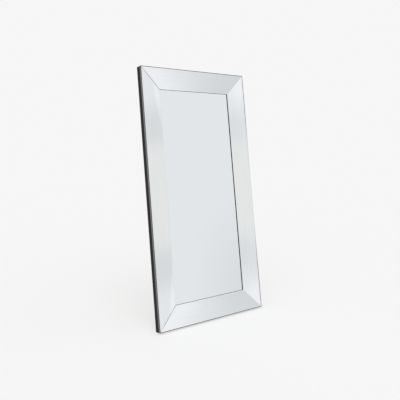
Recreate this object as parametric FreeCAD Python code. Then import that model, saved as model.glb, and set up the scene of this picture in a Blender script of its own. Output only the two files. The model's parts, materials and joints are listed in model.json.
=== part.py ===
import FreeCAD, Part
import math
import os

from FreeCAD import Vector

# A leaning floor mirror, in millimetres. Each piece is drawn on the upright frame, and
# the whole mirror is then tilted back on its floor pads. On the upright frame x runs
# across, y is the depth behind the front rim, and z climbs from the frame's lower edge.
# "In" is always a distance from an outside edge of the frame towards the glass.

# Outside of the frame
WIDTH = 790.0
HEIGHT = 1565.0
DEPTH = 48.0
LEAN = 7.7  # degrees back from upright

# Section of the mitred frame
FRAME_WIDTH = 131.0  # outside edge to sight edge
SIGHT_DEPTH = 20.0  # how far the dished face has fallen back at the sight edge
SHEET = 1.0  # brushed face sheet
LIP = 3.0  # moulding left under the sheet at the sight edge
REBATE = 10.0  # sight edge to the wall of the glass rebate
RAIL_WIDTH = 80.0  # the deep outer part of the moulding
BACK_EDGE_RADIUS = 2.0
STOCK_LENGTH = 196.0  # each moulding is lengths of about this, joined end to end
LEFT_MITRE_GAP = 1.3  # the sheets stand apart at the two left corners
RIGHT_MITRE_GAP = 0.3

# Edge trim: a lip over the sheet and a return let into the moulding's side
TRIM = 1.2
TRIM_LIP = 3.2
TRIM_RETURN = 16.0
TRIM_ARRIS = 1.6
TRIM_LIP_RADIUS = 0.7

# What fills the rebate, from the lip to the back
TAPE = 1.0
TAPE_WIDTH = 6.0
TAPE_SETBACK = 1.5
GLASS = 4.0
GLASS_CLEARANCE = 2.0  # glass edge to rebate wall
GLASS_ARRIS = 0.5
FOAM = 3.0
SPACER_LENGTH = 40.0
SPACER_INSET = 260.0  # end of the glass to the middle of a spacer on its long edges
SPACER_INSET_SHORT = 110.0
PANEL = 4.0
PANEL_CLEARANCE = 2.0  # panel edge to rail
PANEL_CORNER = 6.0

# Steel points that hold the back panel, driven flat into the rail's inner side
POINT_PITCH = 230.0
POINT_MARGIN = 45.0  # panel corner to the first point
POINT_WIDTH = 8.0
POINT_THICKNESS = 0.6
POINT_DRIVEN = 9.0  # length in the rail
POINT_TAIL = 10.0  # length over the panel
POINT_TIP = 4.0

# Screws: shank radius, head radius, head height, length
BRACE_SCREW = (2.0, 3.9, 2.0, 22.0)
HANGER_SCREW = (2.0, 4.0, 2.4, 20.0)
SCREW_POINT = 4.0
SCREW_TIP = 0.3
SCREW_HOLE_CLEARANCE = 0.3
PAN_CROWN = 0.55  # a pan head's flat top and upright edge, as shares of its radius and height
PAN_EDGE = 0.45
RECESS_LENGTH = 3.6
RECESS_WIDTH = 0.8
RECESS_DEPTH = 1.1

# Corner joints
NAIL_LEG = 7.0
NAIL_THICKNESS = 0.8
NAIL_DEPTH = 12.0
NAIL_PLACES = (17.0, 64.0)  # in from both outside edges, along the mitre
BRACE_INSET = 30.0
BRACE_LEG = 95.0
BRACE_WIDTH = 18.0
BRACE = 2.0
BRACE_ROUND = 4.0
BRACE_HOLES = (40.0, 80.0)  # along each leg from the brace's outer corner

# D ring hangers
HANGER_HEIGHT = 1222.0  # ring's pin line above the frame's lower edge
RING_WIRE = 1.25
RING_HALF_WIDTH = 9.5
RING_REACH = 17.5
RING_BAR_RADIUS = 2.5
RING_BOW_RADIUS = 9.4
RING_CLEARANCE = 0.1  # wire to strap, all round
RING_RUNS = 5  # straight runs in each bend of the ring
FLATS = 8  # flats that stand for round on screws and ring wire
STRAP = 1.0
STRAP_WIDTH = 13.0
STRAP_LENGTH = 56.0
STRAP_FOLD = 35.0  # degrees at which the fold runs down to the plate
STRAP_HOLES = (25.0, 46.0)  # below the pin line
STRAP_END_RADIUS = 5.0

# Rubber
BUMPER_RADIUS = 8.0
BUMPER_HEIGHT = 6.0
BUMPER_IN_X = 60.0
BUMPER_IN_Z = 18.0
PAD_LENGTH = 60.0
PAD_INSET = 115.0  # outside edge to the pad's near end
PAD_FRONT = 26.0
PAD_BACK = 45.0
PAD_DROP = 3.0  # rail's lower back edge to the floor
PAD_CORNER = 4.0

SIDES = ("left", "right", "top", "bottom")
CORNERS = {
    "top_left": (-1, 1),
    "top_right": (1, 1),
    "bottom_left": (-1, -1),
    "bottom_right": (1, -1),
}
BACKWARD = Vector(0, 1, 0)

# Depths of the layers, front to back
FACE_SLOPE = (SIGHT_DEPTH - TRIM) / (FRAME_WIDTH - TRIM)
LIP_BACK = SIGHT_DEPTH + SHEET + LIP
GLASS_FRONT = LIP_BACK + TAPE
FOAM_FRONT = GLASS_FRONT + GLASS
LEDGE = FOAM_FRONT + FOAM
PANEL_BACK = LEDGE + PANEL

# Distances in from the outside edge
REBATE_WALL = FRAME_WIDTH - REBATE
GLASS_EDGE = REBATE_WALL + GLASS_CLEARANCE
PANEL_EDGE = RAIL_WIDTH + PANEL_CLEARANCE
RAIL_MIDDLE = RAIL_WIDTH / 2

# The ring's pin line behind the back of the rail
PIN_BACK = DEPTH + STRAP + RING_CLEARANCE + RING_WIRE
FLAT_TURNS = [2 * math.pi * (i + 0.5) / FLATS for i in range(FLATS)]


def face_depth(inward):
    """Depth of the dished face at a distance in from the outside edge."""
    return TRIM + (inward - TRIM) * FACE_SLOPE


def outline(corners, place):
    """Closed wire through corners (u, v) or (u, v, radius), put in space by place(u, v)."""
    points = [Vector(corner[0], corner[1], 0) for corner in corners]
    radii = [corner[2] if len(corner) == 3 else 0 for corner in corners]
    arcs = []
    for i, (point, radius) in enumerate(zip(points, radii)):
        before = (points[i - 1] - point).normalize()
        after = (points[(i + 1) % len(points)] - point).normalize()
        half = before.getAngle(after) / 2
        bisector = (before + after).normalize() if radius else Vector()
        reach = radius / math.tan(half) if radius else 0
        middle = point + bisector * (radius / math.sin(half) - radius)
        arcs.append((point + before * reach, middle, point + after * reach, radius))
    edges = []
    for i, (start, middle, end, radius) in enumerate(arcs):
        if radius:
            ends = [place(p.x, p.y) for p in (start, middle, end)]
            edges.append(Part.Arc(*ends).toShape())
        following = arcs[(i + 1) % len(arcs)][0]
        if (following - end).Length > 1e-6:
            edges.append(Part.makeLine(place(end.x, end.y), place(following.x, following.y)))
    return Part.Wire(edges)


def prism(corners, place, direction):
    """Solid swept straight from an outline."""
    return Part.Face(outline(corners, place)).extrude(direction)


def on_plane(depth):
    """Places (x, z) at a depth behind the rim."""
    return lambda x, z: Vector(x, depth, z)


def plate(corners, front, thickness):
    """Flat piece with an outline in x and z."""
    return prism(corners, on_plane(front), BACKWARD * thickness)


def span(side):
    """Length of a side's outside edge."""
    return HEIGHT if side in ("left", "right") else WIDTH


def at_side(side, inward, along):
    """x and z of a point on a side, along it from its left or lower end."""
    return {
        "left": (inward - WIDTH / 2, along),
        "right": (WIDTH / 2 - inward, along),
        "top": (along - WIDTH / 2, HEIGHT - inward),
        "bottom": (along - WIDTH / 2, inward),
    }[side]


def at_corner(corner, in_x, in_z):
    """x and z of a point measured in from both outside edges at a corner."""
    across, up = CORNERS[corner]
    return across * (WIDTH / 2 - in_x), HEIGHT / 2 + up * (HEIGHT / 2 - in_z)


def mitred(side, section, left_gap=0.0, right_gap=0.0):
    """A section (inward, depth) run along one side and mitred, with open joints."""
    length = span(side)

    def place(inward, depth):
        x, z = at_side(side, inward, 0)
        return Vector(x, depth, z)

    run = Vector(0, 0, length) if side in ("left", "right") else Vector(length, 0, 0)
    first_gap = right_gap if side == "right" else left_gap
    last_gap = left_gap if side == "left" else right_gap
    start = first_gap / math.sqrt(2)
    end = length - last_gap / math.sqrt(2)
    reach = FRAME_WIDTH + TRIM_LIP
    corners = [(0, start), (0, end), (reach, end - reach), (reach, start + reach)]
    between = plate([at_side(side, *corner) for corner in corners], -DEPTH, 3 * DEPTH)
    return prism(section, place, run).common(between)


def moulding(side):
    """Black stained wood section: outer rail, ledge for the panel, rebate and lip."""
    return mitred(side, [
        (TRIM, face_depth(TRIM) + SHEET),
        (FRAME_WIDTH, SIGHT_DEPTH + SHEET),
        (FRAME_WIDTH, LIP_BACK),
        (REBATE_WALL, LIP_BACK),
        (REBATE_WALL, LEDGE),
        (RAIL_WIDTH, LEDGE),
        (RAIL_WIDTH, DEPTH, BACK_EDGE_RADIUS),
        (0, DEPTH, BACK_EDGE_RADIUS),
        (0, TRIM_RETURN),
        (TRIM, TRIM_RETURN),
    ])


def in_lengths(side, shape):
    """The moulding's lengths of stock, glued end to end."""
    count = round(span(side) / STOCK_LENGTH)
    joints = [span(side) * i / count for i in range(count + 1)]
    lengths = []
    for start, end in zip(joints, joints[1:]):
        corners = [(0, start), (FRAME_WIDTH, start), (FRAME_WIDTH, end), (0, end)]
        slab = plate([at_side(side, *corner) for corner in corners], 0, DEPTH)
        lengths.append(shape.common(slab))
    return Part.makeCompound(lengths)


def face_sheet(side):
    """Brushed sheet over the dished face, tucked under the trim's lip."""
    return mitred(side, [
        (TRIM, face_depth(TRIM)),
        (FRAME_WIDTH, SIGHT_DEPTH),
        (FRAME_WIDTH, SIGHT_DEPTH + SHEET),
        (TRIM, face_depth(TRIM) + SHEET),
    ], LEFT_MITRE_GAP, RIGHT_MITRE_GAP)


def edge_trim(side):
    """Pewter angle with a rounded arris. Its lip lies on the sloping sheet."""
    return mitred(side, [
        (0, TRIM_RETURN),
        (0, 0, TRIM_ARRIS),
        (TRIM_LIP, 0, TRIM_LIP_RADIUS),
        (TRIM_LIP, face_depth(TRIM_LIP)),
        (TRIM, face_depth(TRIM)),
        (TRIM, TRIM_RETURN),
    ])


def pane_corners(inward, radius=0.0):
    """Corners of a rectangle set in from the outside of the frame."""
    half = WIDTH / 2 - inward
    return [
        (-half, inward, radius),
        (half, inward, radius),
        (half, HEIGHT - inward, radius),
        (-half, HEIGHT - inward, radius),
    ]


def mirror_glass():
    """Silvered pane with its arrises taken off."""
    pane = plate(pane_corners(GLASS_EDGE), GLASS_FRONT, GLASS)
    return pane.makeChamfer(GLASS_ARRIS, pane.Edges)


def cushion_tape():
    """Four strips between the lip and the glass, butted at the corners."""
    inner = FRAME_WIDTH - TAPE_SETBACK
    outer = inner - TAPE_WIDTH
    strips = []
    for side in SIDES:
        end = outer if side in ("left", "right") else inner
        corners = [(outer, end), (inner, end), (inner, span(side) - end), (outer, span(side) - end)]
        strips.append(plate([at_side(side, *corner) for corner in corners], LIP_BACK, TAPE))
    return Part.makeCompound(strips)


def glass_spacers():
    """Rubber blocks that keep the pane off the rebate's wall, two on each edge."""
    blocks = []
    for side in SIDES:
        inset = SPACER_INSET if side in ("left", "right") else SPACER_INSET_SHORT
        for middle in (GLASS_EDGE + inset, span(side) - GLASS_EDGE - inset):
            low, high = middle - SPACER_LENGTH / 2, middle + SPACER_LENGTH / 2
            corners = [(REBATE_WALL, low), (GLASS_EDGE, low), (GLASS_EDGE, high), (REBATE_WALL, high)]
            places = [at_side(side, *corner) for corner in corners]
            blocks.append(plate(places, LIP_BACK, LEDGE - LIP_BACK))
    return Part.makeCompound(blocks)


def spaced(start, end, pitch):
    """Even places from start to end, no further apart than the pitch."""
    gaps = max(1, math.ceil((end - start) / pitch))
    return [start + (end - start) * i / gaps for i in range(gaps + 1)]


def panel_points():
    """Flat pointed steel tabs all round, lying on the panel and driven into the rail."""
    first = PANEL_EDGE + POINT_MARGIN
    half = POINT_WIDTH / 2
    tip, end = RAIL_WIDTH - POINT_DRIVEN, RAIL_WIDTH + POINT_TAIL
    points = []
    for side in SIDES:
        for middle in spaced(first, span(side) - first, POINT_PITCH):
            corners = [
                (tip, middle),
                (tip + POINT_TIP, middle - half),
                (end, middle - half),
                (end, middle + half),
                (tip + POINT_TIP, middle + half),
            ]
            places = [at_side(side, *corner) for corner in corners]
            points.append(plate(places, PANEL_BACK, POINT_THICKNESS))
    return Part.makeCompound(points)


def flats(near, far):
    """Outlines of the flats from one ring of corners to the next."""
    return [[near[i], near[i - 1], far[i - 1], far[i]] for i in range(FLATS)]


def closed(outlines):
    """Solid inside flat faces."""
    faces = [Part.Face(Part.makePolygon(points + points[:1])) for points in outlines]
    return Part.Solid(Part.Shell(faces))


def faceted(corners):
    """Small turned solid about the y axis, flats for round, from corners (radius, y)."""
    rings = []
    for radius, y in corners:
        rings.append([Vector(radius * math.cos(a), y, radius * math.sin(a)) for a in FLAT_TURNS])
    outlines = [rings[0], rings[-1]]
    for near, far in zip(rings, rings[1:]):
        outlines += flats(near, far)
    return closed(outlines)


def cross_recess(head_top):
    """The driver's cross in a screw's head."""
    cross = []
    for length, width in ((RECESS_LENGTH, RECESS_WIDTH), (RECESS_WIDTH, RECESS_LENGTH)):
        corner = Vector(-length / 2, head_top - RECESS_DEPTH, -width / 2)
        cross.append(Part.makeBox(length, 2 * RECESS_DEPTH, width, corner))
    return cross[0].fuse(cross[1])


def pan_screw(size):
    """Screw with a rounded head standing on y = 0 and its point towards the front."""
    shank, head, height, length = size
    blank = faceted([
        (PAN_CROWN * head, height),
        (head, PAN_EDGE * height),
        (head, 0),
        (shank, 0),
        (shank, SCREW_POINT - length),
        (SCREW_TIP, -length),
    ])
    return blank.cut(cross_recess(height))


def countersunk(size):
    """Blank of a flat-headed screw, flush with y = 0, which is also its seat's shape."""
    shank, head, height, length = size
    return faceted([
        (head, 0),
        (shank, -height),
        (shank, SCREW_POINT - length),
        (SCREW_TIP, -length),
    ])


def put(shape, place, depth):
    """A copy of a shape at x and z, at a depth behind the rim."""
    moved = shape.copy()
    moved.translate(Vector(place[0], depth, place[1]))
    return moved


def group(shape, places, depth):
    """The same shape at several places."""
    return Part.makeCompound([put(shape, place, depth) for place in places])


def holes(radius, places):
    """Straight holes right through from back to front."""
    drill = Part.makeCylinder(radius, 3 * DEPTH, Vector(0, -DEPTH, 0), BACKWARD)
    return group(drill, places, 0)


def v_nails():
    """V-shaped nails driven across each mitre from the back, flush with it."""
    nails = []
    for corner in CORNERS:
        for tip in NAIL_PLACES:
            inner, end = tip - NAIL_THICKNESS, tip - NAIL_LEG
            bend = [(tip, tip), (end, tip), (end, inner), (inner, inner), (inner, end), (tip, end)]
            corners = [at_corner(corner, *point) for point in bend]
            nails.append(plate(corners, DEPTH - NAIL_DEPTH, NAIL_DEPTH))
    return Part.makeCompound(nails)


def brace_screw_places(corner):
    """Two screws in each leg of a corner brace."""
    middle = BRACE_INSET + BRACE_WIDTH / 2
    along = [BRACE_INSET + place for place in BRACE_HOLES]
    pairs = [(middle, place) for place in along] + [(place, middle) for place in along]
    return [at_corner(corner, *pair) for pair in pairs]


def corner_brace(corner):
    """Flat steel angle across a mitre, countersunk for its screws."""
    near, far = BRACE_INSET, BRACE_INSET + BRACE_LEG
    inner = near + BRACE_WIDTH
    corners = [(near, near), (far, near), (far, inner), (inner, inner), (inner, far), (near, far)]
    places = [at_corner(corner, *point) + (0 if point == (inner, inner) else BRACE_ROUND,)
              for point in corners]
    seats = group(countersunk(BRACE_SCREW), brace_screw_places(corner), DEPTH + BRACE)
    return plate(places, DEPTH, BRACE).cut(seats)


def hanger_place(across):
    """x and z of a ring's pin line, on the left (-1) or right (1) rail."""
    return across * (WIDTH / 2 - RAIL_MIDDLE), HANGER_HEIGHT


def hanger_screw_places():
    """Two screws down each strap."""
    places = []
    for across in (-1, 1):
        x, z = hanger_place(across)
        places += [(x, z - below) for below in STRAP_HOLES]
    return places


def strap_fold(radius, plate_back, start):
    """Outline round the pin line, open towards the plate: corners (z, depth)."""
    slope = math.radians(STRAP_FOLD)
    lean_z = -radius * math.sin(slope)
    lean_depth = PIN_BACK + radius * math.cos(slope)
    peak = lean_depth + (radius - lean_z) * math.tan(slope)
    foot = lean_z - (lean_depth - plate_back) / math.tan(slope)
    return [
        (start, PIN_BACK - radius),
        (radius, PIN_BACK - radius, radius),
        (radius, peak, radius),
        (foot, plate_back),
    ]


def hanger_strap(across):
    """Doubled strap, folded round the ring's bar and pressed flat below it."""
    x, pin = hanger_place(across)
    half = STRAP_WIDTH / 2

    def place(z, depth):
        return Vector(x - half, depth, pin + z)

    eye = RING_WIRE + RING_CLEARANCE
    outside = strap_fold(eye + STRAP, DEPTH + 2 * STRAP, -STRAP_LENGTH)
    outside.append((-STRAP_LENGTH, DEPTH + 2 * STRAP))
    inside = strap_fold(eye, DEPTH + STRAP, 0)
    sweep = Vector(STRAP_WIDTH, 0, 0)
    bent = prism(outside, place, sweep).cut(prism(inside, place, sweep))
    low, high = pin - STRAP_LENGTH, pin + RING_REACH
    blank = plate([
        (x - half, low, STRAP_END_RADIUS),
        (x + half, low, STRAP_END_RADIUS),
        (x + half, high),
        (x - half, high),
    ], DEPTH, DEPTH)
    drilled = holes(HANGER_SCREW[0] + SCREW_HOLE_CLEARANCE, hanger_screw_places())
    return bent.common(blank).cut(drilled)


def ring_line():
    """Points round the ring's centre line, below its bar. Each bend is short straight runs."""
    bends = [
        (-1, -RING_BAR_RADIUS, RING_BAR_RADIUS),
        (1, -RING_BAR_RADIUS, RING_BAR_RADIUS),
        (1, RING_BOW_RADIUS - RING_REACH, RING_BOW_RADIUS),
        (-1, RING_BOW_RADIUS - RING_REACH, RING_BOW_RADIUS),
    ]
    line = []
    for quarter, (across, z, radius) in enumerate(bends):
        x = across * (RING_HALF_WIDTH - radius)
        for run in range(RING_RUNS + 1):
            turn = math.pi - (quarter + run / RING_RUNS) * math.pi / 2
            line.append(Vector(x + radius * math.cos(turn), 0, z + radius * math.sin(turn)))
    return line


def hanger_ring(across):
    """Closed D of round wire. It hangs plumb, so it leaves the back of the leaning frame."""
    x, pin = hanger_place(across)
    line = ring_line()
    rings = []
    for i, point in enumerate(line):
        before = (point - line[i - 1]).normalize()
        after = (line[(i + 1) % len(line)] - point).normalize()
        ahead = before + after
        outward = ahead.cross(BACKWARD) * (2 / ahead.dot(ahead))
        offsets = [outward * math.cos(a) + BACKWARD * math.sin(a) for a in FLAT_TURNS]
        rings.append([point + offset * RING_WIRE for offset in offsets])
    outlines = []
    for i, ring in enumerate(rings):
        outlines += flats(rings[i - 1], ring)
    wire = closed(outlines)
    wire.rotate(Vector(), Vector(1, 0, 0), LEAN)
    wire.translate(Vector(x, PIN_BACK, pin))
    return wire


def wall_bumpers():
    """Rubber domes near the corners of the back. The top two meet the wall."""
    half = outline([
        (0, 0),
        (BUMPER_RADIUS, 0),
        (BUMPER_RADIUS, BUMPER_HEIGHT, BUMPER_HEIGHT),
        (0, BUMPER_HEIGHT),
    ], lambda radius, y: Vector(radius, y, 0))
    dome = Part.Face(half).revolve(Vector(), BACKWARD, 360)
    return group(dome, [at_corner(corner, BUMPER_IN_X, BUMPER_IN_Z) for corner in CORNERS], DEPTH)


def floor_drop(depth):
    """z of the floor under the upright drawing, at a depth behind the rim."""
    return (depth - DEPTH) * math.tan(math.radians(LEAN)) - PAD_DROP


def floor_pads():
    """Rubber wedges under the bottom rail, flat on the floor when the frame leans."""
    pads = []
    for across in (-1, 1):
        near = across * (WIDTH / 2 - PAD_INSET)
        far = near - across * PAD_LENGTH
        low, high = min(near, far), max(near, far)
        plan = [
            (low, PAD_FRONT, PAD_CORNER),
            (high, PAD_FRONT, PAD_CORNER),
            (high, PAD_BACK, PAD_CORNER),
            (low, PAD_BACK, PAD_CORNER),
        ]
        block = prism(plan, lambda x, depth: Vector(x, depth, -DEPTH), Vector(0, 0, DEPTH))
        wedge = [
            (0, floor_drop(0)),
            (DEPTH, floor_drop(DEPTH)),
            (DEPTH, 0),
            (0, 0),
        ]
        above = prism(wedge, lambda depth, z: Vector(-WIDTH, depth, z), Vector(2 * WIDTH, 0, 0))
        pads.append(block.common(above))
    return Part.makeCompound(pads)


def upright_pieces():
    """Every piece by name, on the upright frame."""
    hanger_screws = group(pan_screw(HANGER_SCREW), hanger_screw_places(), DEPTH + 2 * STRAP)
    brace_places = [place for corner in CORNERS for place in brace_screw_places(corner)]
    brace_screw = countersunk(BRACE_SCREW).cut(cross_recess(0))
    brace_screws = group(brace_screw, brace_places, DEPTH + BRACE)
    nails = v_nails()
    points = panel_points()
    fasteners = [points, hanger_screws, brace_screws, nails]
    pieces = {}
    for side in SIDES:
        pieces[side + "_moulding"] = in_lengths(side, moulding(side).cut(fasteners))
        pieces[side + "_face_sheet"] = face_sheet(side)
        pieces[side + "_edge_trim"] = edge_trim(side)
    for corner in CORNERS:
        pieces[corner + "_brace"] = corner_brace(corner)
    for name, across in (("left", -1), ("right", 1)):
        pieces[name + "_hanger_strap"] = hanger_strap(across)
        pieces[name + "_hanger_ring"] = hanger_ring(across)
    pieces.update({
        "mirror_glass": mirror_glass(),
        "glass_cushion_tape": cushion_tape(),
        "glass_spacer_blocks": glass_spacers(),
        "foam_sheet": plate(pane_corners(GLASS_EDGE), FOAM_FRONT, FOAM),
        "back_panel": plate(pane_corners(PANEL_EDGE, PANEL_CORNER), LEDGE, PANEL),
        "back_panel_points": points,
        "mitre_v_nails": nails,
        "brace_screws": brace_screws,
        "hanger_screws": hanger_screws,
        "wall_bumpers": wall_bumpers(),
        "floor_pads": floor_pads(),
    })
    return pieces


def leaning(pieces):
    """All pieces tilted back, with the origin on the floor under the middle."""
    for shape in pieces.values():
        shape.rotate(Vector(), Vector(1, 0, 0), -LEAN)
    bounds = Part.makeCompound(list(pieces.values())).optimalBoundingBox(False)
    shift = Vector(-bounds.Center.x, -bounds.Center.y, -bounds.ZMin)
    for shape in pieces.values():
        shape.translate(shift)


def main():
    pieces = upright_pieces()
    leaning(pieces)
    os.makedirs("parts", exist_ok=True)
    for name, shape in pieces.items():
        shape.exportStep("parts/%s.step" % name)
        print("%-22s %2d solids %12.0f mm3" % (name, len(shape.Solids), shape.Volume))


if __name__ == "__main__":
    main()
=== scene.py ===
"""Looks of a leaning floor mirror with a wide brushed silver frame."""

import json
import math

import bmesh
import bpy
from bpy.props import FloatProperty, FloatVectorProperty, IntProperty, PointerProperty
from mathutils import Matrix, Vector


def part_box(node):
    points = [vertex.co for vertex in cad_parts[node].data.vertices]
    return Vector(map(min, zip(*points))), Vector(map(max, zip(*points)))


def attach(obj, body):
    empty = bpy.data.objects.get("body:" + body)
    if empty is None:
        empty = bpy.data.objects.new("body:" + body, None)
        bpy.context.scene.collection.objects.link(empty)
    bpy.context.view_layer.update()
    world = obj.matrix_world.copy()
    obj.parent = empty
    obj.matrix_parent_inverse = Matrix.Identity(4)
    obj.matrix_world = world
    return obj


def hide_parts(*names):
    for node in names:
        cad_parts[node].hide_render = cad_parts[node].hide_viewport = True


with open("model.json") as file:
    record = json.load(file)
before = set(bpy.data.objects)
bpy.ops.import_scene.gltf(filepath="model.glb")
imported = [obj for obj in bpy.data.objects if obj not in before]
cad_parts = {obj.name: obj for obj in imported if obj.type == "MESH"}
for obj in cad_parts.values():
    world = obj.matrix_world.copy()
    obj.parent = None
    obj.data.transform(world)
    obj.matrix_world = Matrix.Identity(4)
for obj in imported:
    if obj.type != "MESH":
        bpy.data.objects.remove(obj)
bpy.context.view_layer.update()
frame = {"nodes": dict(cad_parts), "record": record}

bl_info = {
    "name": "Leaning floor mirror",
    "version": (1, 0, 0),
    "blender": (4, 5, 0),
    "location": "View3D > Sidebar > Mirror",
    "description": "Finishes and fastenings of a leaning mirror in a wide brushed silver frame",
    "category": "Object",
}

NODES = frame["nodes"]
RECORD = frame["record"]
SIDES = ("left", "right", "top", "bottom")
CORNERS = ("top_left", "top_right", "bottom_left", "bottom_right")

SAME_PLACE = 1e-6  # corners closer than this are one corner

# Brushed sheet: noise cells to the metre along and across a side
HAIR_ALONG = 6.0
LINES = (2.5, 420.0)
STREAKS = (1.3, 90.0)
CLOUDS = (2.2, 7.0)
MITRE_SHADE = (0.0008, 0.002)  # from the mitre, where its painted shade starts and has faded
EDGE_SHADE = (0.0003, 0.0001)  # short of the sheet's width, where the cut edge's painted shade starts and is full
# near black of the painted shade on the sight edge and in the left mitres
EDGE_SHADE_COLOUR = (0.03, 0.03, 0.03)
WARM = (1.0, 0.995, 0.962)

# Trim, wood and board: cells to the metre along and across, and lengths in metres
DRAWN = (4.0, 900.0)
PORES = (14.0, 900.0)
GROWTH = (1.6, 60.0)
LIP_TURNS = (0.0012, 0.0024)  # depth at which the trim's lip has become its return
RETURN_DARKENS = (0.003, 0.015)
LIP_MIDDLE = 0.0009
WEAVE_PITCH = 0.0024

# Fastenings and bumpers, in metres
PITCH = 0.0016
SCREW_POINT = 0.004
SCREW_TIP = 0.0003
BRACE_SCREW_LENGTH = 0.022
HANGER_SCREW_LENGTH = 0.0224
HEAD_RIM = 0.00025
BAR_BEND = 0.0025
BOW_BEND = 0.0094
BEND_STEPS = 14
WIRE_STEPS = 24
RING_EDGE = 1.2  # radians, over every edge of the round wire
BUMPER_STEP = 0.0004
BUMPER_ROUND = 0.0056
BUMPER_STEPS = 12

SENSOR = 36.0
FLOOR_STEPS = 96
FLOOR_DROP = 0.0002  # below the pads, so that no faces share a plane

# The leaning frame's own directions
BACKWARD = Vector(next(m["axis"] for m in RECORD["mounts"] if m["name"] == "frame_back"))
ACROSS = Vector((1, 0, 0))
CLIMBING = ACROSS.cross(BACKWARD)


def reach(node, direction):
    """Least and greatest place of a node along a direction."""
    places = [vertex.co.dot(direction) for vertex in NODES[node].data.vertices]
    return min(places), max(places)


OUTER = reach("top_edge_trim", ACROSS)[1]
HEAD = reach("top_edge_trim", CLIMBING)[1]
FOOT = reach("bottom_edge_trim", CLIMBING)[0]
MIDDLE = (HEAD + FOOT) / 2
HALF_HEIGHT = (HEAD - FOOT) / 2
FRONT = reach("top_edge_trim", BACKWARD)[0]
SHEET_WIDTH = reach("left_face_sheet", ACROSS)[1] + OUTER


# ---------------------------------------------------------------- shader helpers


class Wire:
    """A number that runs through nodes. Sums of wires add Math nodes."""

    def __init__(self, nodes, socket):
        self.nodes = nodes
        self.socket = socket

    def math(self, operation, *numbers):
        inputs = dict(enumerate(numbers))
        return self.nodes.add("Math", {"operation": operation}, inputs)

    def __add__(self, other):
        return self.math("ADD", self, other)

    __radd__ = __add__

    def __sub__(self, other):
        return self.math("SUBTRACT", self, other)

    def __rsub__(self, other):
        return self.math("SUBTRACT", other, self)

    def __mul__(self, other):
        return self.math("MULTIPLY", self, other)

    __rmul__ = __mul__

    def __truediv__(self, other):
        return self.math("DIVIDE", self, other)

    def __pow__(self, other):
        return self.math("POWER", self, other)

    def __neg__(self):
        return self * -1.0

    def __abs__(self):
        return self.math("ABSOLUTE", self)

    def greatest(self, other):
        return self.math("MAXIMUM", self, other)

    def sine(self):
        return self.math("SINE", self)

    def clamped(self):
        return self.smooth(0.0, 1.0, "LINEAR")

    def smooth(self, start, end, kind="SMOOTHSTEP"):
        """0 before start, 1 after end, and a smooth climb between."""
        settings = {"interpolation_type": kind, "clamp": True}
        places = {"Value": self, "From Min": start, "From Max": end}
        return self.nodes.add("MapRange", settings, places)


class Nodes:
    """The nodes of one material or world."""

    def __init__(self, tree):
        self.tree = tree

    def add(self, kind, settings, inputs, output=0):
        """A node of a kind, with its settings and then its sockets."""
        node = self.tree.nodes.new("ShaderNode" + kind)
        for key, value in settings.items():
            setattr(node, key, value)
        for key, value in inputs.items():
            self.feed(node.inputs[key], value)
        return Wire(self, node.outputs[output])

    def feed(self, socket, value):
        if isinstance(value, Wire):
            self.tree.links.new(value.socket, socket)
        elif socket.type == "RGBA" and len(value) == 3:
            socket.default_value = (*value, 1.0)
        else:
            socket.default_value = value

    def seen(self):
        """1 for what camera, reflections and clear pieces see, 0 for what lights the scene."""
        camera, glossy, clear = (
            self.add("LightPath", {}, {}, "Is %s Ray" % kind)
            for kind in ("Camera", "Glossy", "Transmission")
        )
        return camera.greatest(glossy).greatest(clear)


class Finish(Nodes):
    """One material and the nodes that paint it."""

    def __init__(self, name):
        self.material = bpy.data.materials.new(name)
        self.material.use_nodes = True
        super().__init__(self.material.node_tree)
        self.shader = self.tree.nodes["Principled BSDF"]
        self.place = self.add("TexCoord", {}, {}, "Object")

    def set(self, **values):
        """Sockets of the surface shader, written with underscores for spaces."""
        for key, value in values.items():
            self.feed(self.shader.inputs[key.replace("_", " ")], value)

    def mix(self, factor, first, second, blend="MIX"):
        """A colour between two colours."""
        settings = {"data_type": "RGBA", "blend_type": blend, "clamp_factor": True}
        return self.add("Mix", settings, {0: factor, 6: first, 7: second}, 2)

    def along(self, direction):
        """Distance along a direction, in metres."""
        inputs = {0: self.place, 1: direction}
        return self.add("VectorMath", {"operation": "DOT_PRODUCT"}, inputs, "Value")

    def point(self, x, y=0.0, z=0.0):
        return self.add("CombineXYZ", {}, {"X": x, "Y": y, "Z": z})

    def noise(self, place, scale, detail=2.0, roughness=0.5):
        """Soft noise between about 0 and 1, on a scale of cells to the metre."""
        inputs = {"Vector": place, "Scale": scale, "Detail": detail, "Roughness": roughness}
        return self.add("TexNoise", {}, inputs, "Fac")

    def grain(self, cells, run, across, depth, detail, roughness=0.5):
        """Noise drawn out along a run, on cells to the metre along and across it."""
        along, over = cells
        place = self.point(run * along, across * over, depth * over)
        return self.noise(place, 1.0, detail, roughness)

    def veil(self, factor, brightness):
        """Lays an even brightness over part of what is seen of the surface."""
        output = self.tree.nodes["Material Output"]
        plain = self.add("Emission", {}, {"Color": (1.0, 1.0, 1.0), "Strength": brightness})
        lit = Wire(self, self.shader.outputs[0])
        veiled = self.add("MixShader", {}, {0: factor, 1: lit, 2: plain})
        self.feed(output.inputs["Surface"], veiled)

    def bump(self, height, depth, under=None):
        """Small relief of a depth in metres."""
        inputs = {"Height": height, "Distance": depth, "Strength": 1.0}
        if under:
            inputs["Normal"] = under
        return self.add("Bump", {}, inputs, "Normal")


def dress(names, finish):
    """Gives a finish to nodes that keep their shape."""
    for name in names:
        NODES[name].data.materials.clear()
        NODES[name].data.materials.append(finish.material)


# ---------------------------------------------------------------- mesh helpers


def piece(name, mesh, finish, body, node):
    """A new piece of the object, riding on a body in place of a node."""
    shape = bpy.data.objects.new(name, mesh)
    bpy.context.scene.collection.objects.link(shape)
    mesh.materials.append(finish.material)
    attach(shape, body)
    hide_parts(node)


def middle(corners):
    """Mean place of a solid's corners, rounded so that solids sort the same way each time."""
    mean = sum(corners, Vector()) / len(corners)
    return tuple(round(value, 4) for value in mean)


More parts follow.
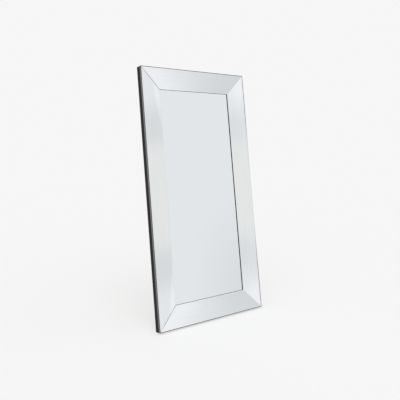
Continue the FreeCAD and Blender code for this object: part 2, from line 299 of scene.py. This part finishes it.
def solids(node):
    """The separate solids of a node, each as a list of its corners."""
    work = bmesh.new()
    work.from_mesh(NODES[node].data)
    bmesh.ops.remove_doubles(work, verts=work.verts, dist=SAME_PLACE)
    unseen = set(work.verts)
    found = []
    while unseen:
        waiting = [unseen.pop()]
        corners = []
        while waiting:
            vertex = waiting.pop()
            corners.append(vertex.co.copy())
            near = {edge.other_vert(vertex) for edge in vertex.link_edges} & unseen
            unseen -= near
            waiting.extend(near)
        found.append(corners)
    work.free()
    return sorted(found, key=middle)


def seat(corners):
    """Where a solid's axis leaves the frame's back: middle across, rearmost depth."""
    x = [corner.dot(ACROSS) for corner in corners]
    up = [corner.dot(CLIMBING) for corner in corners]
    back = max(corner.dot(BACKWARD) for corner in corners)
    centre = ACROSS * (min(x) + max(x)) / 2 + CLIMBING * (min(up) + max(up)) / 2
    return centre + BACKWARD * back


def circle(steps):
    """Angles of even steps round a circle."""
    return [2 * math.pi * i / steps for i in range(steps)]


def turned(profile, steps):
    """Mesh turned about Z from (radius, height) corners, first to last. Ends close on the axis."""
    work = bmesh.new()
    rings = []
    for radius, height in profile:
        turns = circle(steps) if radius > 0 else [0.0]
        ring = [(radius * math.cos(t), radius * math.sin(t), height) for t in turns]
        rings.append([work.verts.new(place) for place in ring])
    for lower, upper in zip(rings, rings[1:]):
        for i in range(steps):
            k = (i + 1) % steps
            corners = [lower[i % len(lower)], lower[k % len(lower)]]
            corners += [upper[k % len(upper)], upper[i % len(upper)]]
            work.faces.new(list(dict.fromkeys(corners)))
    bmesh.ops.recalc_face_normals(work, faces=work.faces)
    return work


def copies(work, places):
    """One mesh with a shape at each place, its Z axis pointing backward. Uses the shape up."""
    turn = Matrix((ACROSS, -CLIMBING, BACKWARD)).transposed()
    mesh = bpy.data.meshes.new("copies")
    master = bpy.data.meshes.new("master")
    work.to_mesh(master)
    work.free()
    joined = bmesh.new()
    for spot in places:
        first = len(joined.verts)
        joined.from_mesh(master)
        joined.verts.ensure_lookup_table()
        for vertex in joined.verts[first:]:
            vertex.co = turn @ vertex.co + spot
    joined.to_mesh(mesh)
    joined.free()
    bpy.data.meshes.remove(master)
    return mesh


def smoothed(mesh, angle=0.6):
    """Round faces shaded smooth, edges over the angle (in radians) kept sharp."""
    mesh.shade_smooth()
    mesh.set_sharp_from_angle(angle=angle)
    return mesh


# ---------------------------------------------------------------- settings


def colour(name, description, default):
    return FloatVectorProperty(name=name, description=description, default=default, size=3,
                               subtype="COLOR", min=0.0, max=1.0)


def length(name, description, default):
    return FloatProperty(name=name, description=description, default=default, unit="LENGTH",
                         min=0.0, precision=5)


def share(name, description, default):
    return FloatProperty(name=name, description=description, default=default, subtype="FACTOR",
                         min=0.0, max=1.0)


def angle(name, description, degrees):
    return FloatProperty(name=name, description=description, default=math.radians(degrees),
                         subtype="ANGLE")


class SheetSettings(bpy.types.PropertyGroup):
    """Brushed face sheets and the trim round them"""

    # The two sheet colours are the ends of its painted reflections: painted highlight where it catches
    # the light, painted shade where it falls away.
    bright: colour("Bright", "Sheet where it catches the light", (0.92, 0.94, 0.972))
    shade_tone: colour("Dull", "Sheet where it falls away", (0.705, 0.733, 0.748))
    roughness: share("Roughness", "Gloss of the brushed face, 0 for a mirror", 0.34)
    grain_pitch: length("Grain pitch", "Width of the finest brush lines", 0.0005)
    grain_depth: length("Grain depth", "Depth of the brush lines", 0.00001)
    # Painted shade in the gaps of the mitres at the left corners.
    mitre_shade_strength: share("Sheared edge", "Darkening of the cut edges at the left mitres", 0.75)
    trim: colour("Trim", "Pewter of the trim's return", (0.24, 0.24, 0.245))
    # The lip colour is painted shade, the dark look of the trim's arris painted onto its front lip;
    # the return darkens to it towards the back.
    lip_shading: colour("Lip", "Darker front lip of the trim", (0.03, 0.03, 0.031))
    trim_roughness: share("Trim roughness", "Gloss of the edge trim", 0.3)


class GlassSettings(bpy.types.PropertyGroup):
    """Silvered pane"""

    silver: colour("Silver", "Tint of what the pane reflects", (0.825, 0.858, 0.884))
    # Painted shade: the pane's reflection painted darker towards its lower right.
    painted_shade: colour("Shade", "Tint towards the pane's lower right", (0.74, 0.757, 0.775))
    roughness: share("Roughness", "Blur of the reflection", 0.01)


class WoodSettings(bpy.types.PropertyGroup):
    """Mouldings and back panel"""

    stain: colour("Stain", "Black stain of the mouldings", (0.011, 0.0085, 0.009))
    worn: colour("Worn", "Stain where it is rubbed", (0.042, 0.03, 0.027))
    hardboard: colour("Hardboard", "Back panel", (0.27, 0.165, 0.095))


class HardwareSettings(bpy.types.PropertyGroup):
    """Steel fastenings and rubber"""

    zinc: colour("Zinc", "Zinc plate on braces, hangers and screws", (0.4, 0.41, 0.42))
    rubber: colour("Rubber", "Bumpers, pads and cushions", (0.022, 0.022, 0.023))
    foam: colour("Foam", "Sheet behind the glass", (0.82, 0.82, 0.8))
    head_radius: length("Countersunk head radius", "Brace screws", 0.0039)
    head_height: length("Countersunk head height", "Brace screws", 0.002)
    pan_radius: length("Pan head radius", "Hanger screws", 0.004)
    pan_height: length("Pan head height", "Hanger screws", 0.0024)
    shank_radius: length("Shank radius", "All screws", 0.002)
    recess: length("Recess", "Width across a screw's cross recess", 0.0038)
    wire: length("Wire radius", "D ring wire", 0.00125)
    steps: IntProperty(name="Steps", description="Flats round a turned piece", default=40, min=8,
                       max=128)


class StudioSettings(bpy.types.PropertyGroup):
    """Camera, light and floor"""

    background: share("Background", "Brightness that camera and reflections see", 0.922)
    ambient: share("Ambient", "Brightness of the soft light from all round", 0.74)
    sun: FloatProperty(name="Sun", description="Key light on a surface that faces it", default=0.9,
                       min=0.0)
    sun_spread: angle("Spread", "Softness of the key light", 50)
    sun_turn: angle("Turn", "Side that the key light comes from", -32)
    sun_height: angle("Height", "Height of the key light", 52)
    camera: FloatVectorProperty(name="Camera", description="Where the camera stands",
                                subtype="TRANSLATION", unit="LENGTH",
                                default=(-1.8105, -2.4847, 1.1050))
    turn: angle("Camera turn", "Turn to the right of straight ahead", 35.798)
    dip: angle("Camera dip", "How far the camera looks down", 3.016)
    lens: FloatProperty(name="Lens", description="Focal length on the sensor, in mm", default=43.776)
    drop: FloatProperty(name="Drop", description="Vertical lens shift", default=-0.08)
    floor_radius: length("Floor radius", "Size of the round floor", 14.0)
    veil: share("Veil", "Share of the floor that is seen as plain background", 0.6)


class MirrorSettings(bpy.types.PropertyGroup):
    """All sizes and colours of the mirror"""

    sheet: PointerProperty(type=SheetSettings)
    glass: PointerProperty(type=GlassSettings)
    wood: PointerProperty(type=WoodSettings)
    hardware: PointerProperty(type=HardwareSettings)
    studio: PointerProperty(type=StudioSettings)


# ---------------------------------------------------------------- finishes


def brushed_sheet(side, look):
    """Satin silver sheet with its grain along the side, and painted reflections and painted shade in
    its colour.
    """
    finish = Finish(side + "_brushed_silver")
    across = finish.along(ACROSS)
    up = finish.along(CLIMBING) - MIDDLE
    upright = side in ("left", "right")
    run, half = (up, HALF_HEIGHT) if upright else (across, OUTER)
    inward = OUTER - abs(across) if upright else HALF_HEIGHT - abs(up)
    width = inward / SHEET_WIDTH

    def brushed(cells, apart, detail):
        along, over = cells
        return finish.noise(finish.point(run * along, inward * over, apart), 1.0, detail)

    # brush lines from hairlines to broad soft streaks, drawn out along the side
    hair = finish.noise(finish.point(run * HAIR_ALONG, inward / look.grain_pitch), 1.0, 3.0)
    line = brushed(LINES, 3.0, 2.0)
    streak = brushed(STREAKS, 9.0, 2.0)
    cloud = brushed(CLOUDS, 17.0, 1.0)

    # tone from dark to light, painted reflections: bands of painted shade across the stiles, painted
    # highlights at their corners and along the left stile's glass edge, and a painted highlight that
    # falls slowly from left to right on the rails
    if upright:
        ends = abs(run / half)
        inner = width.smooth(0.3, 0.8)
        reflection_band = 1.0 - abs(ends - 0.54).smooth(0.03, 0.24)
        corner = ends.smooth(0.68, 0.92)
        if side == "left":
            # painted highlight along the glass edge of the left stile, lower down
            glass_edge_highlight = (width + 0.35 * ends.smooth(0.45, 0.95)).smooth(0.93, 1.0)
            glass_edge_highlight = glass_edge_highlight * ends.smooth(0.3, 0.6)
            tone = 0.6 - 0.42 * reflection_band + 0.03 * corner + 0.3 * glass_edge_highlight
        else:
            tone = 0.6 - (0.24 + 0.1 * inner) * reflection_band + (0.5 - 0.28 * inner) * corner
        warmth = 1.0 - ends.smooth(0.25, 0.6)
    else:
        along = (run + half - inward) / (2.0 * (half - inward))
        tone = 1.25 * (1.0 - along).greatest(0.0) ** 1.6 - 0.05
        warmth = 0.3 * (1.0 - along)
    tone = tone + 0.3 * (streak - 0.5) + 0.45 * (line - 0.5)
    tone = tone + 0.12 * (cloud - 0.5) + 0.6 * (hair - 0.5)

    # painted shade: the cut at the sight edge is painted dark for the shade of the step down to the
    # glass, and the open mitres at the left are painted dark for the shade in their gaps
    cut = inward.smooth(*[SHEET_WIDTH - short for short in EDGE_SHADE])
    if side != "right":
        mitre = abs((half - abs(run)) - inward) / math.sqrt(2)
        mitre_gap_shade = (1.0 - mitre.smooth(*MITRE_SHADE)) * inward.smooth(0.015, 0.05)
        if not upright:
            mitre_gap_shade = mitre_gap_shade * (-run).smooth(-0.01, 0.01)
        cut = cut.greatest(look.mitre_shade_strength * mitre_gap_shade)
    silver = finish.mix(tone.clamped(), look.shade_tone, look.bright)
    silver = finish.mix(warmth.clamped(), silver, WARM, "MULTIPLY")
    finish.set(
        Base_Color=finish.mix(cut, silver, EDGE_SHADE_COLOUR),
        Roughness=look.roughness + 0.16 * (line - 0.5) + 0.1 * (cloud - 0.5),
        Metallic=1.0,
        Normal=finish.bump(hair + 0.6 * line, look.grain_depth),
    )
    return finish


def pewter(look, side):
    """Drawn trim: a lip over the sheet painted dark as shade, darker on the top and pale in the middle
    of the right side as painted light, and a paler return round the outside.
    """
    finish = Finish(side + "_pewter_trim")
    across = finish.along(ACROSS)
    up = finish.along(CLIMBING) - MIDDLE
    depth = finish.along(BACKWARD) - FRONT
    run, half = (up, HALF_HEIGHT) if side in ("left", "right") else (across, OUTER)
    cloud = finish.noise(finish.place, 24.0, 4.0, 0.6)
    drawn = finish.grain(DRAWN, run, across + up, depth, 3.0)
    front = 1.0 - depth.smooth(*LIP_TURNS)
    # paler patches along the middle of the lip: rub wear together with a painted highlight on the
    # arris
    rubbed = cloud.smooth(0.45, 0.75) * (1.0 - abs(depth - LIP_MIDDLE).smooth(0.0002, 0.0012))
    pale = [min(1.0, 1.9 * c) for c in look.trim]
    # the brighter trim colour is a painted highlight for the middle of the right lip
    bright = [min(1.0, 3.2 * c) for c in look.trim]
    returned = finish.mix(0.5 * (drawn - 0.3).clamped(), look.trim, pale)
    returned = finish.mix(depth.smooth(*RETURN_DARKENS, "LINEAR") ** 1.4, returned, look.lip_shading)
    # painted light by side: the lip is painted darker on the top, and on the right painted pale in the
    # middle, dark towards the ends
    lip_shading = [0.6 * c for c in look.lip_shading] if side == "top" else look.lip_shading
    if side == "right":
        lip_shading = finish.mix(abs(run / half).smooth(0.25, 0.75), bright, look.lip_shading)
    finish.set(
        Base_Color=finish.mix(0.15 * rubbed, finish.mix(front, returned, lip_shading), pale),
        Roughness=look.trim_roughness + 0.14 * (cloud - 0.5) + 0.1 * (drawn - 0.5),
        Metallic=1.0,
        Normal=finish.bump(drawn, 0.00002),
    )
    return finish


def silvered_glass(look):
    """Clear float glass over silver, with the faintest haze and painted shade towards its lower right.
    """
    finish = Finish("silvered_glass")
    right = (finish.along(ACROSS) / OUTER).smooth(-0.5, 0.75)
    low = (finish.along(CLIMBING) - MIDDLE) / HALF_HEIGHT
    # painted shade: the reflection painted darker towards the pane's lower right
    painted_shade = right * (1.0 - low.smooth(-0.95, 0.1))
    haze = finish.noise(finish.place, 5.0, 4.0, 0.6)
    finish.set(
        Base_Color=finish.mix(0.95 * painted_shade + 0.06 * (haze - 0.5), look.silver, look.painted_shade),
        Roughness=look.roughness + 0.008 * haze.smooth(0.5, 0.8),
        Metallic=1.0,
        Coat_Weight=0.25,
        Coat_Roughness=0.0,
    )
    return finish


def stained_wood(look, side):
    """Black stained wood with its pores along the side, rubbed paler in places."""
    finish = Finish(side + "_stained_wood")
    across, up, depth = (finish.along(direction) for direction in (ACROSS, CLIMBING, BACKWARD))
    run, other = (up, across) if side in ("left", "right") else (across, up)
    pores = finish.grain(PORES, run, other, depth, 4.0, 0.62)
    growth = finish.grain(GROWTH, run, other, depth, 3.0)
    cloud = finish.noise(finish.place, 9.0, 3.0)
    rubbed = pores.smooth(0.58, 0.8) * 0.35 + cloud.smooth(0.55, 0.8) * 0.3
    rubbed = rubbed + growth.smooth(0.55, 0.75) * 0.25
    finish.set(
        Base_Color=finish.mix(rubbed, look.stain, look.worn),
        Roughness=0.46 + 0.22 * (cloud - 0.5) + 0.12 * pores,
        Specular_IOR_Level=0.1,
        Normal=finish.bump(pores + 0.4 * growth, 0.00008),
    )
    return finish


def hardboard(look):
    """Pressed brown board, screen side out."""
    finish = Finish("hardboard")
    flat = finish.point(finish.along(ACROSS), finish.along(CLIMBING))
    fibres = finish.noise(flat, 420.0, 5.0, 0.7)
    blotch = finish.noise(finish.place, 30.0, 5.0, 0.65)
    weave = 1.0
    for direction in (ACROSS, CLIMBING):
        turns = finish.along(direction) * (2.0 * math.pi / WEAVE_PITCH)
        weave = weave * (0.5 + 0.5 * turns.sine())
    pale = [min(1.0, 1.16 * c) for c in look.hardboard]
    dark = [0.62 * c for c in look.hardboard]
    ground = finish.mix(blotch.smooth(0.3, 0.7), look.hardboard, pale)
    finish.set(
        Base_Color=finish.mix(0.65 * fibres.smooth(0.45, 0.8) + 0.25 * weave, ground, dark),
        Roughness=0.78 + 0.12 * (fibres - 0.5),
        Normal=finish.bump(fibres * 0.5 - weave, 0.00018),
    )
    return finish


def zinc_plate(look):
    """Bright zinc over pressed steel, clouded and finely scratched."""
    finish = Finish("zinc_plate")
    across, up = finish.along(ACROSS), finish.along(CLIMBING)
    spangle = finish.noise(finish.place, 130.0, 3.0, 0.55)
    cloud = finish.noise(finish.place, 35.0, 3.0)
    scratches = finish.noise(finish.point((across + up) * 60.0, (across - up) * 2600.0), 1.0, 2.0)
    warm = (look.zinc[0] * 1.08, look.zinc[1] * 1.03, look.zinc[2] * 0.9)
    cool = (look.zinc[0] * 1.14, look.zinc[1] * 1.17, look.zinc[2] * 1.22)
    finish.set(
        Base_Color=finish.mix(cloud.smooth(0.3, 0.7), warm, cool),
        Roughness=0.26 + 0.2 * (spangle - 0.4) + 0.12 * scratches.smooth(0.55, 0.75),
        Metallic=1.0,
        Normal=finish.bump(spangle * 0.4 + scratches, 0.000012),
    )
    return finish


def rubber(look):
    """Matt moulded rubber with a dusty bloom."""
    finish = Finish("rubber")
    grain = finish.noise(finish.place, 1800.0, 3.0, 0.6)
    bloom = finish.noise(finish.place, 60.0, 3.0)
    dusty = [0.035 + 1.5 * c for c in look.rubber]
    finish.set(
        Base_Color=finish.mix(0.6 * bloom.smooth(0.4, 0.75), look.rubber, dusty),
        Roughness=0.72 + 0.16 * (bloom - 0.5),
        Normal=finish.bump(grain, 0.00004),
    )
    return finish


def foam(look):
    """Closed-cell sheet with small round cells."""
    finish = Finish("foam")
    inputs = {"Vector": finish.place, "Scale": 520.0}
    cells = finish.add("TexVoronoi", {}, inputs, "Distance")
    shadow = [0.8 * c for c in look.foam]
    finish.set(
        Base_Color=finish.mix(cells.smooth(0.2, 0.7), look.foam, shadow),
        Roughness=0.85 + 0.05 * cells,
        Normal=finish.bump(-cells, 0.0002),
    )
    return finish


# ---------------------------------------------------------------- pieces


def cross_cutter(look, top):
    """Tapered cross that sinks a screw's recess, as a mesh object."""
    work = bmesh.new()
    half, blade = look.recess / 2, look.recess / 9
    for long_x in (True, False):
        corners = []
        for height, grow in ((top - 0.55 * look.recess, 0.35), (top + 0.001, 1.3)):
            x, y = (half * grow, blade) if long_x else (blade, half * grow)
            outline = [(-x, -y, height), (x, -y, height), (x, y, height), (-x, y, height)]
            corners.append([work.verts.new(corner) for corner in outline])
        bottom, lid = corners
        work.faces.new(bottom[::-1])
        work.faces.new(lid)
        for i in range(4):
            k = (i + 1) % 4
            work.faces.new([bottom[i], bottom[k], lid[k], lid[i]])
    mesh = bpy.data.meshes.new("cross")
    work.to_mesh(mesh)
    work.free()
    return bpy.data.objects.new("cross", mesh)


def countersunk_head(look):
    """Corners of a flat head, from its rim down to the shank."""
    return [
        (0.96 * look.head_radius, 0.0),
        (look.head_radius, -HEAD_RIM),
        (look.shank_radius, -look.head_height),
    ]


def pan_head(look, steps=8):
    """Corners of a domed head with a flat underside, from its crown down to the shank."""
    crown = []
    for i in range(steps + 1):
        a = math.pi / 2 * i / steps
        share = 0.45 + 0.55 * math.sin(a) if i else 0.4
        height = look.pan_height * (0.3 + 0.7 * math.cos(a)) - look.pan_height
        crown.append((look.pan_radius * share, height))
    crown.append((look.pan_radius, -0.97 * look.pan_height))
    crown.append((look.shank_radius, -look.pan_height))
    return crown


def screw(look, head, screw_length):
    """A screw about Z: its head's corners down to the seat, then a threaded shank and point."""
    thread = []
    depth = head[-1][1] - 0.3 * screw_length
    while depth > SCREW_POINT - screw_length:
        thread += [(0.78 * look.shank_radius, depth), (look.shank_radius, depth - 0.45 * PITCH)]
        depth -= PITCH
    profile = [(0.0, head[0][1])] + head + [(0.8 * look.shank_radius, head[-1][1])] + thread
    profile += [(SCREW_TIP, 0.0002 - screw_length), (0.0, -screw_length)]
    work = turned(profile, look.steps)
    mesh = bpy.data.meshes.new("blank")
    work.to_mesh(mesh)
    work.free()
    blank = bpy.data.objects.new("blank", mesh)
    cutter = cross_cutter(look, head[0][1])
    for shape in (blank, cutter):
        bpy.context.scene.collection.objects.link(shape)
    sink = blank.modifiers.new("recess", "BOOLEAN")
    sink.object = cutter
    sink.use_self = True
    bpy.context.view_layer.update()
    cut = blank.evaluated_get(bpy.context.evaluated_depsgraph_get()).to_mesh()
    work = bmesh.new()
    work.from_mesh(cut)
    for shape in (blank, cutter):
        bpy.data.meshes.remove(shape.data)
    return work


def ring_line(box, look):
    """Centre line of a D ring, as points round it in its own plane."""
    low, high = box
    left, right = low.x + look.wire, high.x - look.wire
    top, bottom = high.z - look.wire, low.z + look.wire
    bends = [
        (left + BAR_BEND, top - BAR_BEND, BAR_BEND, 180, 90),
        (right - BAR_BEND, top - BAR_BEND, BAR_BEND, 90, 0),
        (right - BOW_BEND, bottom + BOW_BEND, BOW_BEND, 0, -90),
        (left + BOW_BEND, bottom + BOW_BEND, BOW_BEND, -90, -180),
    ]
    y = (low.y + high.y) / 2
    points = []
    for x, z, radius, start, end in bends:
        for i in range(BEND_STEPS + 1):
            a = math.radians(start + (end - start) * i / BEND_STEPS)
            points.append(Vector((x + radius * math.cos(a), y, z + radius * math.sin(a))))
    return points


def tube(points, radius, steps):
    """Closed tube of round wire through points that lie in an upright plane."""
    work = bmesh.new()
    rings = []
    for i, point in enumerate(points):
        ahead = (points[(i + 1) % len(points)] - points[i - 1]).normalized()
        side = Vector((0, 1, 0))
        up = ahead.cross(side)
        ring = [point + (side * math.cos(t) + up * math.sin(t)) * radius for t in circle(steps)]
        rings.append([work.verts.new(place) for place in ring])
    for i, ring in enumerate(rings):
        following = rings[(i + 1) % len(rings)]
        for k in range(steps):
            m = (k + 1) % steps
            work.faces.new([ring[k], ring[m], following[m], following[k]])
    bmesh.ops.recalc_face_normals(work, faces=work.faces)
    mesh = bpy.data.meshes.new("wire")
    work.to_mesh(mesh)
    work.free()
    return mesh


def dome(radius, height):
    """Corners of a rubber dome, from its foot up to its crown at zero height."""
    foot = -height
    start = foot + 2 * BUMPER_STEP
    rim = radius - BUMPER_STEP
    profile = [(0.0, foot), (radius, foot), (radius, foot + BUMPER_STEP), (rim, start)]
    for i in range(1, BUMPER_STEPS + 1):
        a = math.pi / 2 * i / BUMPER_STEPS
        profile.append((rim - BUMPER_ROUND * (1 - math.cos(a)), start - start * math.sin(a)))
    profile.append((0.0, 0.0))
    return profile


class MIRROR_OT_face_sheets(bpy.types.Operator):
    """Brush the four face sheets"""

    bl_idname = "floor_mirror.face_sheets"
    bl_label = "Face sheets"

    def execute(self, context):
        for side in SIDES:
            dress([side + "_face_sheet"], brushed_sheet(side, context.scene.floor_mirror.sheet))
        return {"FINISHED"}


class MIRROR_OT_edge_trim(bpy.types.Operator):
    """Finish the pewter trim round the frame"""

    bl_idname = "floor_mirror.edge_trim"
    bl_label = "Edge trim"

    def execute(self, context):
        for side in SIDES:
            dress([side + "_edge_trim"], pewter(context.scene.floor_mirror.sheet, side))
        return {"FINISHED"}


class MIRROR_OT_mouldings(bpy.types.Operator):
    """Stain the four mouldings"""

    bl_idname = "floor_mirror.mouldings"
    bl_label = "Mouldings"

    def execute(self, context):
        for side in SIDES:
            dress([side + "_moulding"], stained_wood(context.scene.floor_mirror.wood, side))
        return {"FINISHED"}


class MIRROR_OT_glass(bpy.types.Operator):
    """Silver the pane and finish what backs and cushions it"""

    bl_idname = "floor_mirror.glass"
    bl_label = "Glass"

    def execute(self, context):
        settings = context.scene.floor_mirror
        dress(["mirror_glass"], silvered_glass(settings.glass))
        dress(["foam_sheet"], foam(settings.hardware))
        dress(["glass_cushion_tape", "glass_spacer_blocks", "floor_pads"], rubber(settings.hardware))
        dress(["back_panel"], hardboard(settings.wood))
        return {"FINISHED"}


class MIRROR_OT_steelwork(bpy.types.Operator):
    """Plate the braces, straps, nails and panel points"""

    bl_idname = "floor_mirror.steelwork"
    bl_label = "Steelwork"

    def execute(self, context):
        plate = zinc_plate(context.scene.floor_mirror.hardware)
        names = [corner + "_brace" for corner in CORNERS]
        names += ["left_hanger_strap", "right_hanger_strap", "back_panel_points", "mitre_v_nails"]
        dress(names, plate)
        return {"FINISHED"}


class MIRROR_OT_screws(bpy.types.Operator):
    """Set the brace screws and the hanger screws"""

    bl_idname = "floor_mirror.screws"
    bl_label = "Screws"

    def execute(self, context):
        look = context.scene.floor_mirror.hardware
        plate = zinc_plate(look)
        kinds = (
            ("countersunk_brace_screws", countersunk_head(look), BRACE_SCREW_LENGTH, "brace_screws"),
            ("pan_head_hanger_screws", pan_head(look), HANGER_SCREW_LENGTH, "hanger_screws"),
        )
        for name, head, screw_length, node in kinds:
            places = [seat(solid) for solid in solids(node)]
            mesh = copies(screw(look, head, screw_length), places)
            piece(name, smoothed(mesh), plate, "mirror", node)
        return {"FINISHED"}


class MIRROR_OT_rings(bpy.types.Operator):
    """Bend the two D rings"""

    bl_idname = "floor_mirror.rings"
    bl_label = "D rings"

    def execute(self, context):
        look = context.scene.floor_mirror.hardware
        plate = zinc_plate(look)
        for side in ("left", "right"):
            node = side + "_hanger_ring"
            mesh = smoothed(tube(ring_line(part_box(node), look), look.wire, WIRE_STEPS), RING_EDGE)
            piece(side + "_round_wire_ring", mesh, plate, side + "_ring", node)
        return {"FINISHED"}


class MIRROR_OT_bumpers(bpy.types.Operator):
    """Mould the rubber wall bumpers"""

    bl_idname = "floor_mirror.bumpers"
    bl_label = "Wall bumpers"

    def execute(self, context):
        look = context.scene.floor_mirror.hardware
        places = [seat(solid) for solid in solids("wall_bumpers")]
        low, high = reach("wall_bumpers", BACKWARD)
        radius = reach("wall_bumpers", ACROSS)[1] - max(place.x for place in places)
        mesh = copies(turned(dome(radius, high - low), look.steps), places)
        piece("rubber_wall_bumpers", smoothed(mesh), rubber(look), "mirror",
              "wall_bumpers")
        return {"FINISHED"}


class MIRROR_OT_stage(bpy.types.Operator):
    """Lay the floor, hang the light and set the camera"""

    bl_idname = "floor_mirror.stage"
    bl_label = "Stage"

    def execute(self, context):
        look = context.scene.floor_mirror.studio
        self.floor(look)
        self.light(look)
        self.camera(look)
        context.scene.view_settings.view_transform = "Standard"
        return {"FINISHED"}

    def floor(self, look):
        key = look.sun * math.sin(look.sun_height) / math.pi
        work = bmesh.new()
        radius = look.floor_radius
        rim = [(radius * math.cos(a), radius * math.sin(a), -FLOOR_DROP) for a in circle(FLOOR_STEPS)]
        work.faces.new([work.verts.new(place) for place in rim])
        mesh = bpy.data.meshes.new("floor")
        work.to_mesh(mesh)
        work.free()
        finish = Finish("pale_floor")
        tone = look.background / (look.ambient + key)
        finish.set(Base_Color=(tone, tone, tone), Roughness=1.0, Specular_IOR_Level=0.0)
        finish.veil(look.veil * finish.seen(), look.background)
        mesh.materials.append(finish.material)
        floor = bpy.data.objects.new("floor", mesh)
        bpy.context.scene.collection.objects.link(floor)

    def light(self, look):
        world = bpy.data.worlds.new("studio")
        bpy.context.scene.world = world
        world.use_nodes = True
        sky = Nodes(world.node_tree)
        background = sky.tree.nodes["Background"]
        seen = sky.seen()
        sky.feed(background.inputs["Color"], (1.0, 1.0, 1.0))
        sky.feed(background.inputs["Strength"], look.ambient + (look.background - look.ambient) * seen)
        lamp = bpy.data.lights.new("key", "SUN")
        lamp.energy = look.sun
        lamp.angle = look.sun_spread
        key = bpy.data.objects.new("key", lamp)
        key.rotation_euler = (math.pi / 2 - look.sun_height, 0.0, look.sun_turn)
        bpy.context.scene.collection.objects.link(key)

    def camera(self, look):
        data = bpy.data.cameras.new("camera")
        data.lens = look.lens
        data.sensor_width = SENSOR
        data.shift_y = look.drop
        camera = bpy.data.objects.new("camera", data)
        camera.location = look.camera
        camera.rotation_euler = (math.pi / 2 - look.dip, 0.0, -look.turn)
        bpy.context.scene.collection.objects.link(camera)
        bpy.context.scene.camera = camera


class MIRROR_PT_build(bpy.types.Panel):
    """Pieces of the leaning mirror"""

    bl_idname = "MIRROR_PT_build"
    bl_label = "Leaning mirror"
    bl_space_type = "VIEW_3D"
    bl_region_type = "UI"
    bl_category = "Mirror"

    def draw(self, context):
        settings = context.scene.floor_mirror
        for operator in OPERATORS:
            self.layout.operator(operator.bl_idname)
        for name in ("sheet", "glass", "wood", "hardware", "studio"):
            box = self.layout.box()
            box.label(text=name.capitalize())
            group = getattr(settings, name)
            for key in group.__annotations__:
                box.prop(group, key)


OPERATORS = (
    MIRROR_OT_face_sheets,
    MIRROR_OT_edge_trim,
    MIRROR_OT_mouldings,
    MIRROR_OT_glass,
    MIRROR_OT_steelwork,
    MIRROR_OT_screws,
    MIRROR_OT_rings,
    MIRROR_OT_bumpers,
    MIRROR_OT_stage,
)
SETTINGS = (
    SheetSettings,
    GlassSettings,
    WoodSettings,
    HardwareSettings,
    StudioSettings,
    MirrorSettings,
)


def register():
    for kind in (*SETTINGS, *OPERATORS, MIRROR_PT_build):
        bpy.utils.register_class(kind)
    bpy.types.Scene.floor_mirror = PointerProperty(type=MirrorSettings)


def unregister():
    del bpy.types.Scene.floor_mirror
    for kind in reversed((*SETTINGS, *OPERATORS, MIRROR_PT_build)):
        bpy.utils.unregister_class(kind)


def main():
    register()
    bpy.ops.floor_mirror.face_sheets()
    bpy.ops.floor_mirror.edge_trim()
    bpy.ops.floor_mirror.mouldings()
    bpy.ops.floor_mirror.glass()
    bpy.ops.floor_mirror.steelwork()
    bpy.ops.floor_mirror.screws()
    bpy.ops.floor_mirror.rings()
    bpy.ops.floor_mirror.bumpers()
    bpy.ops.floor_mirror.stage()


if __name__ == "__main__":
    main()
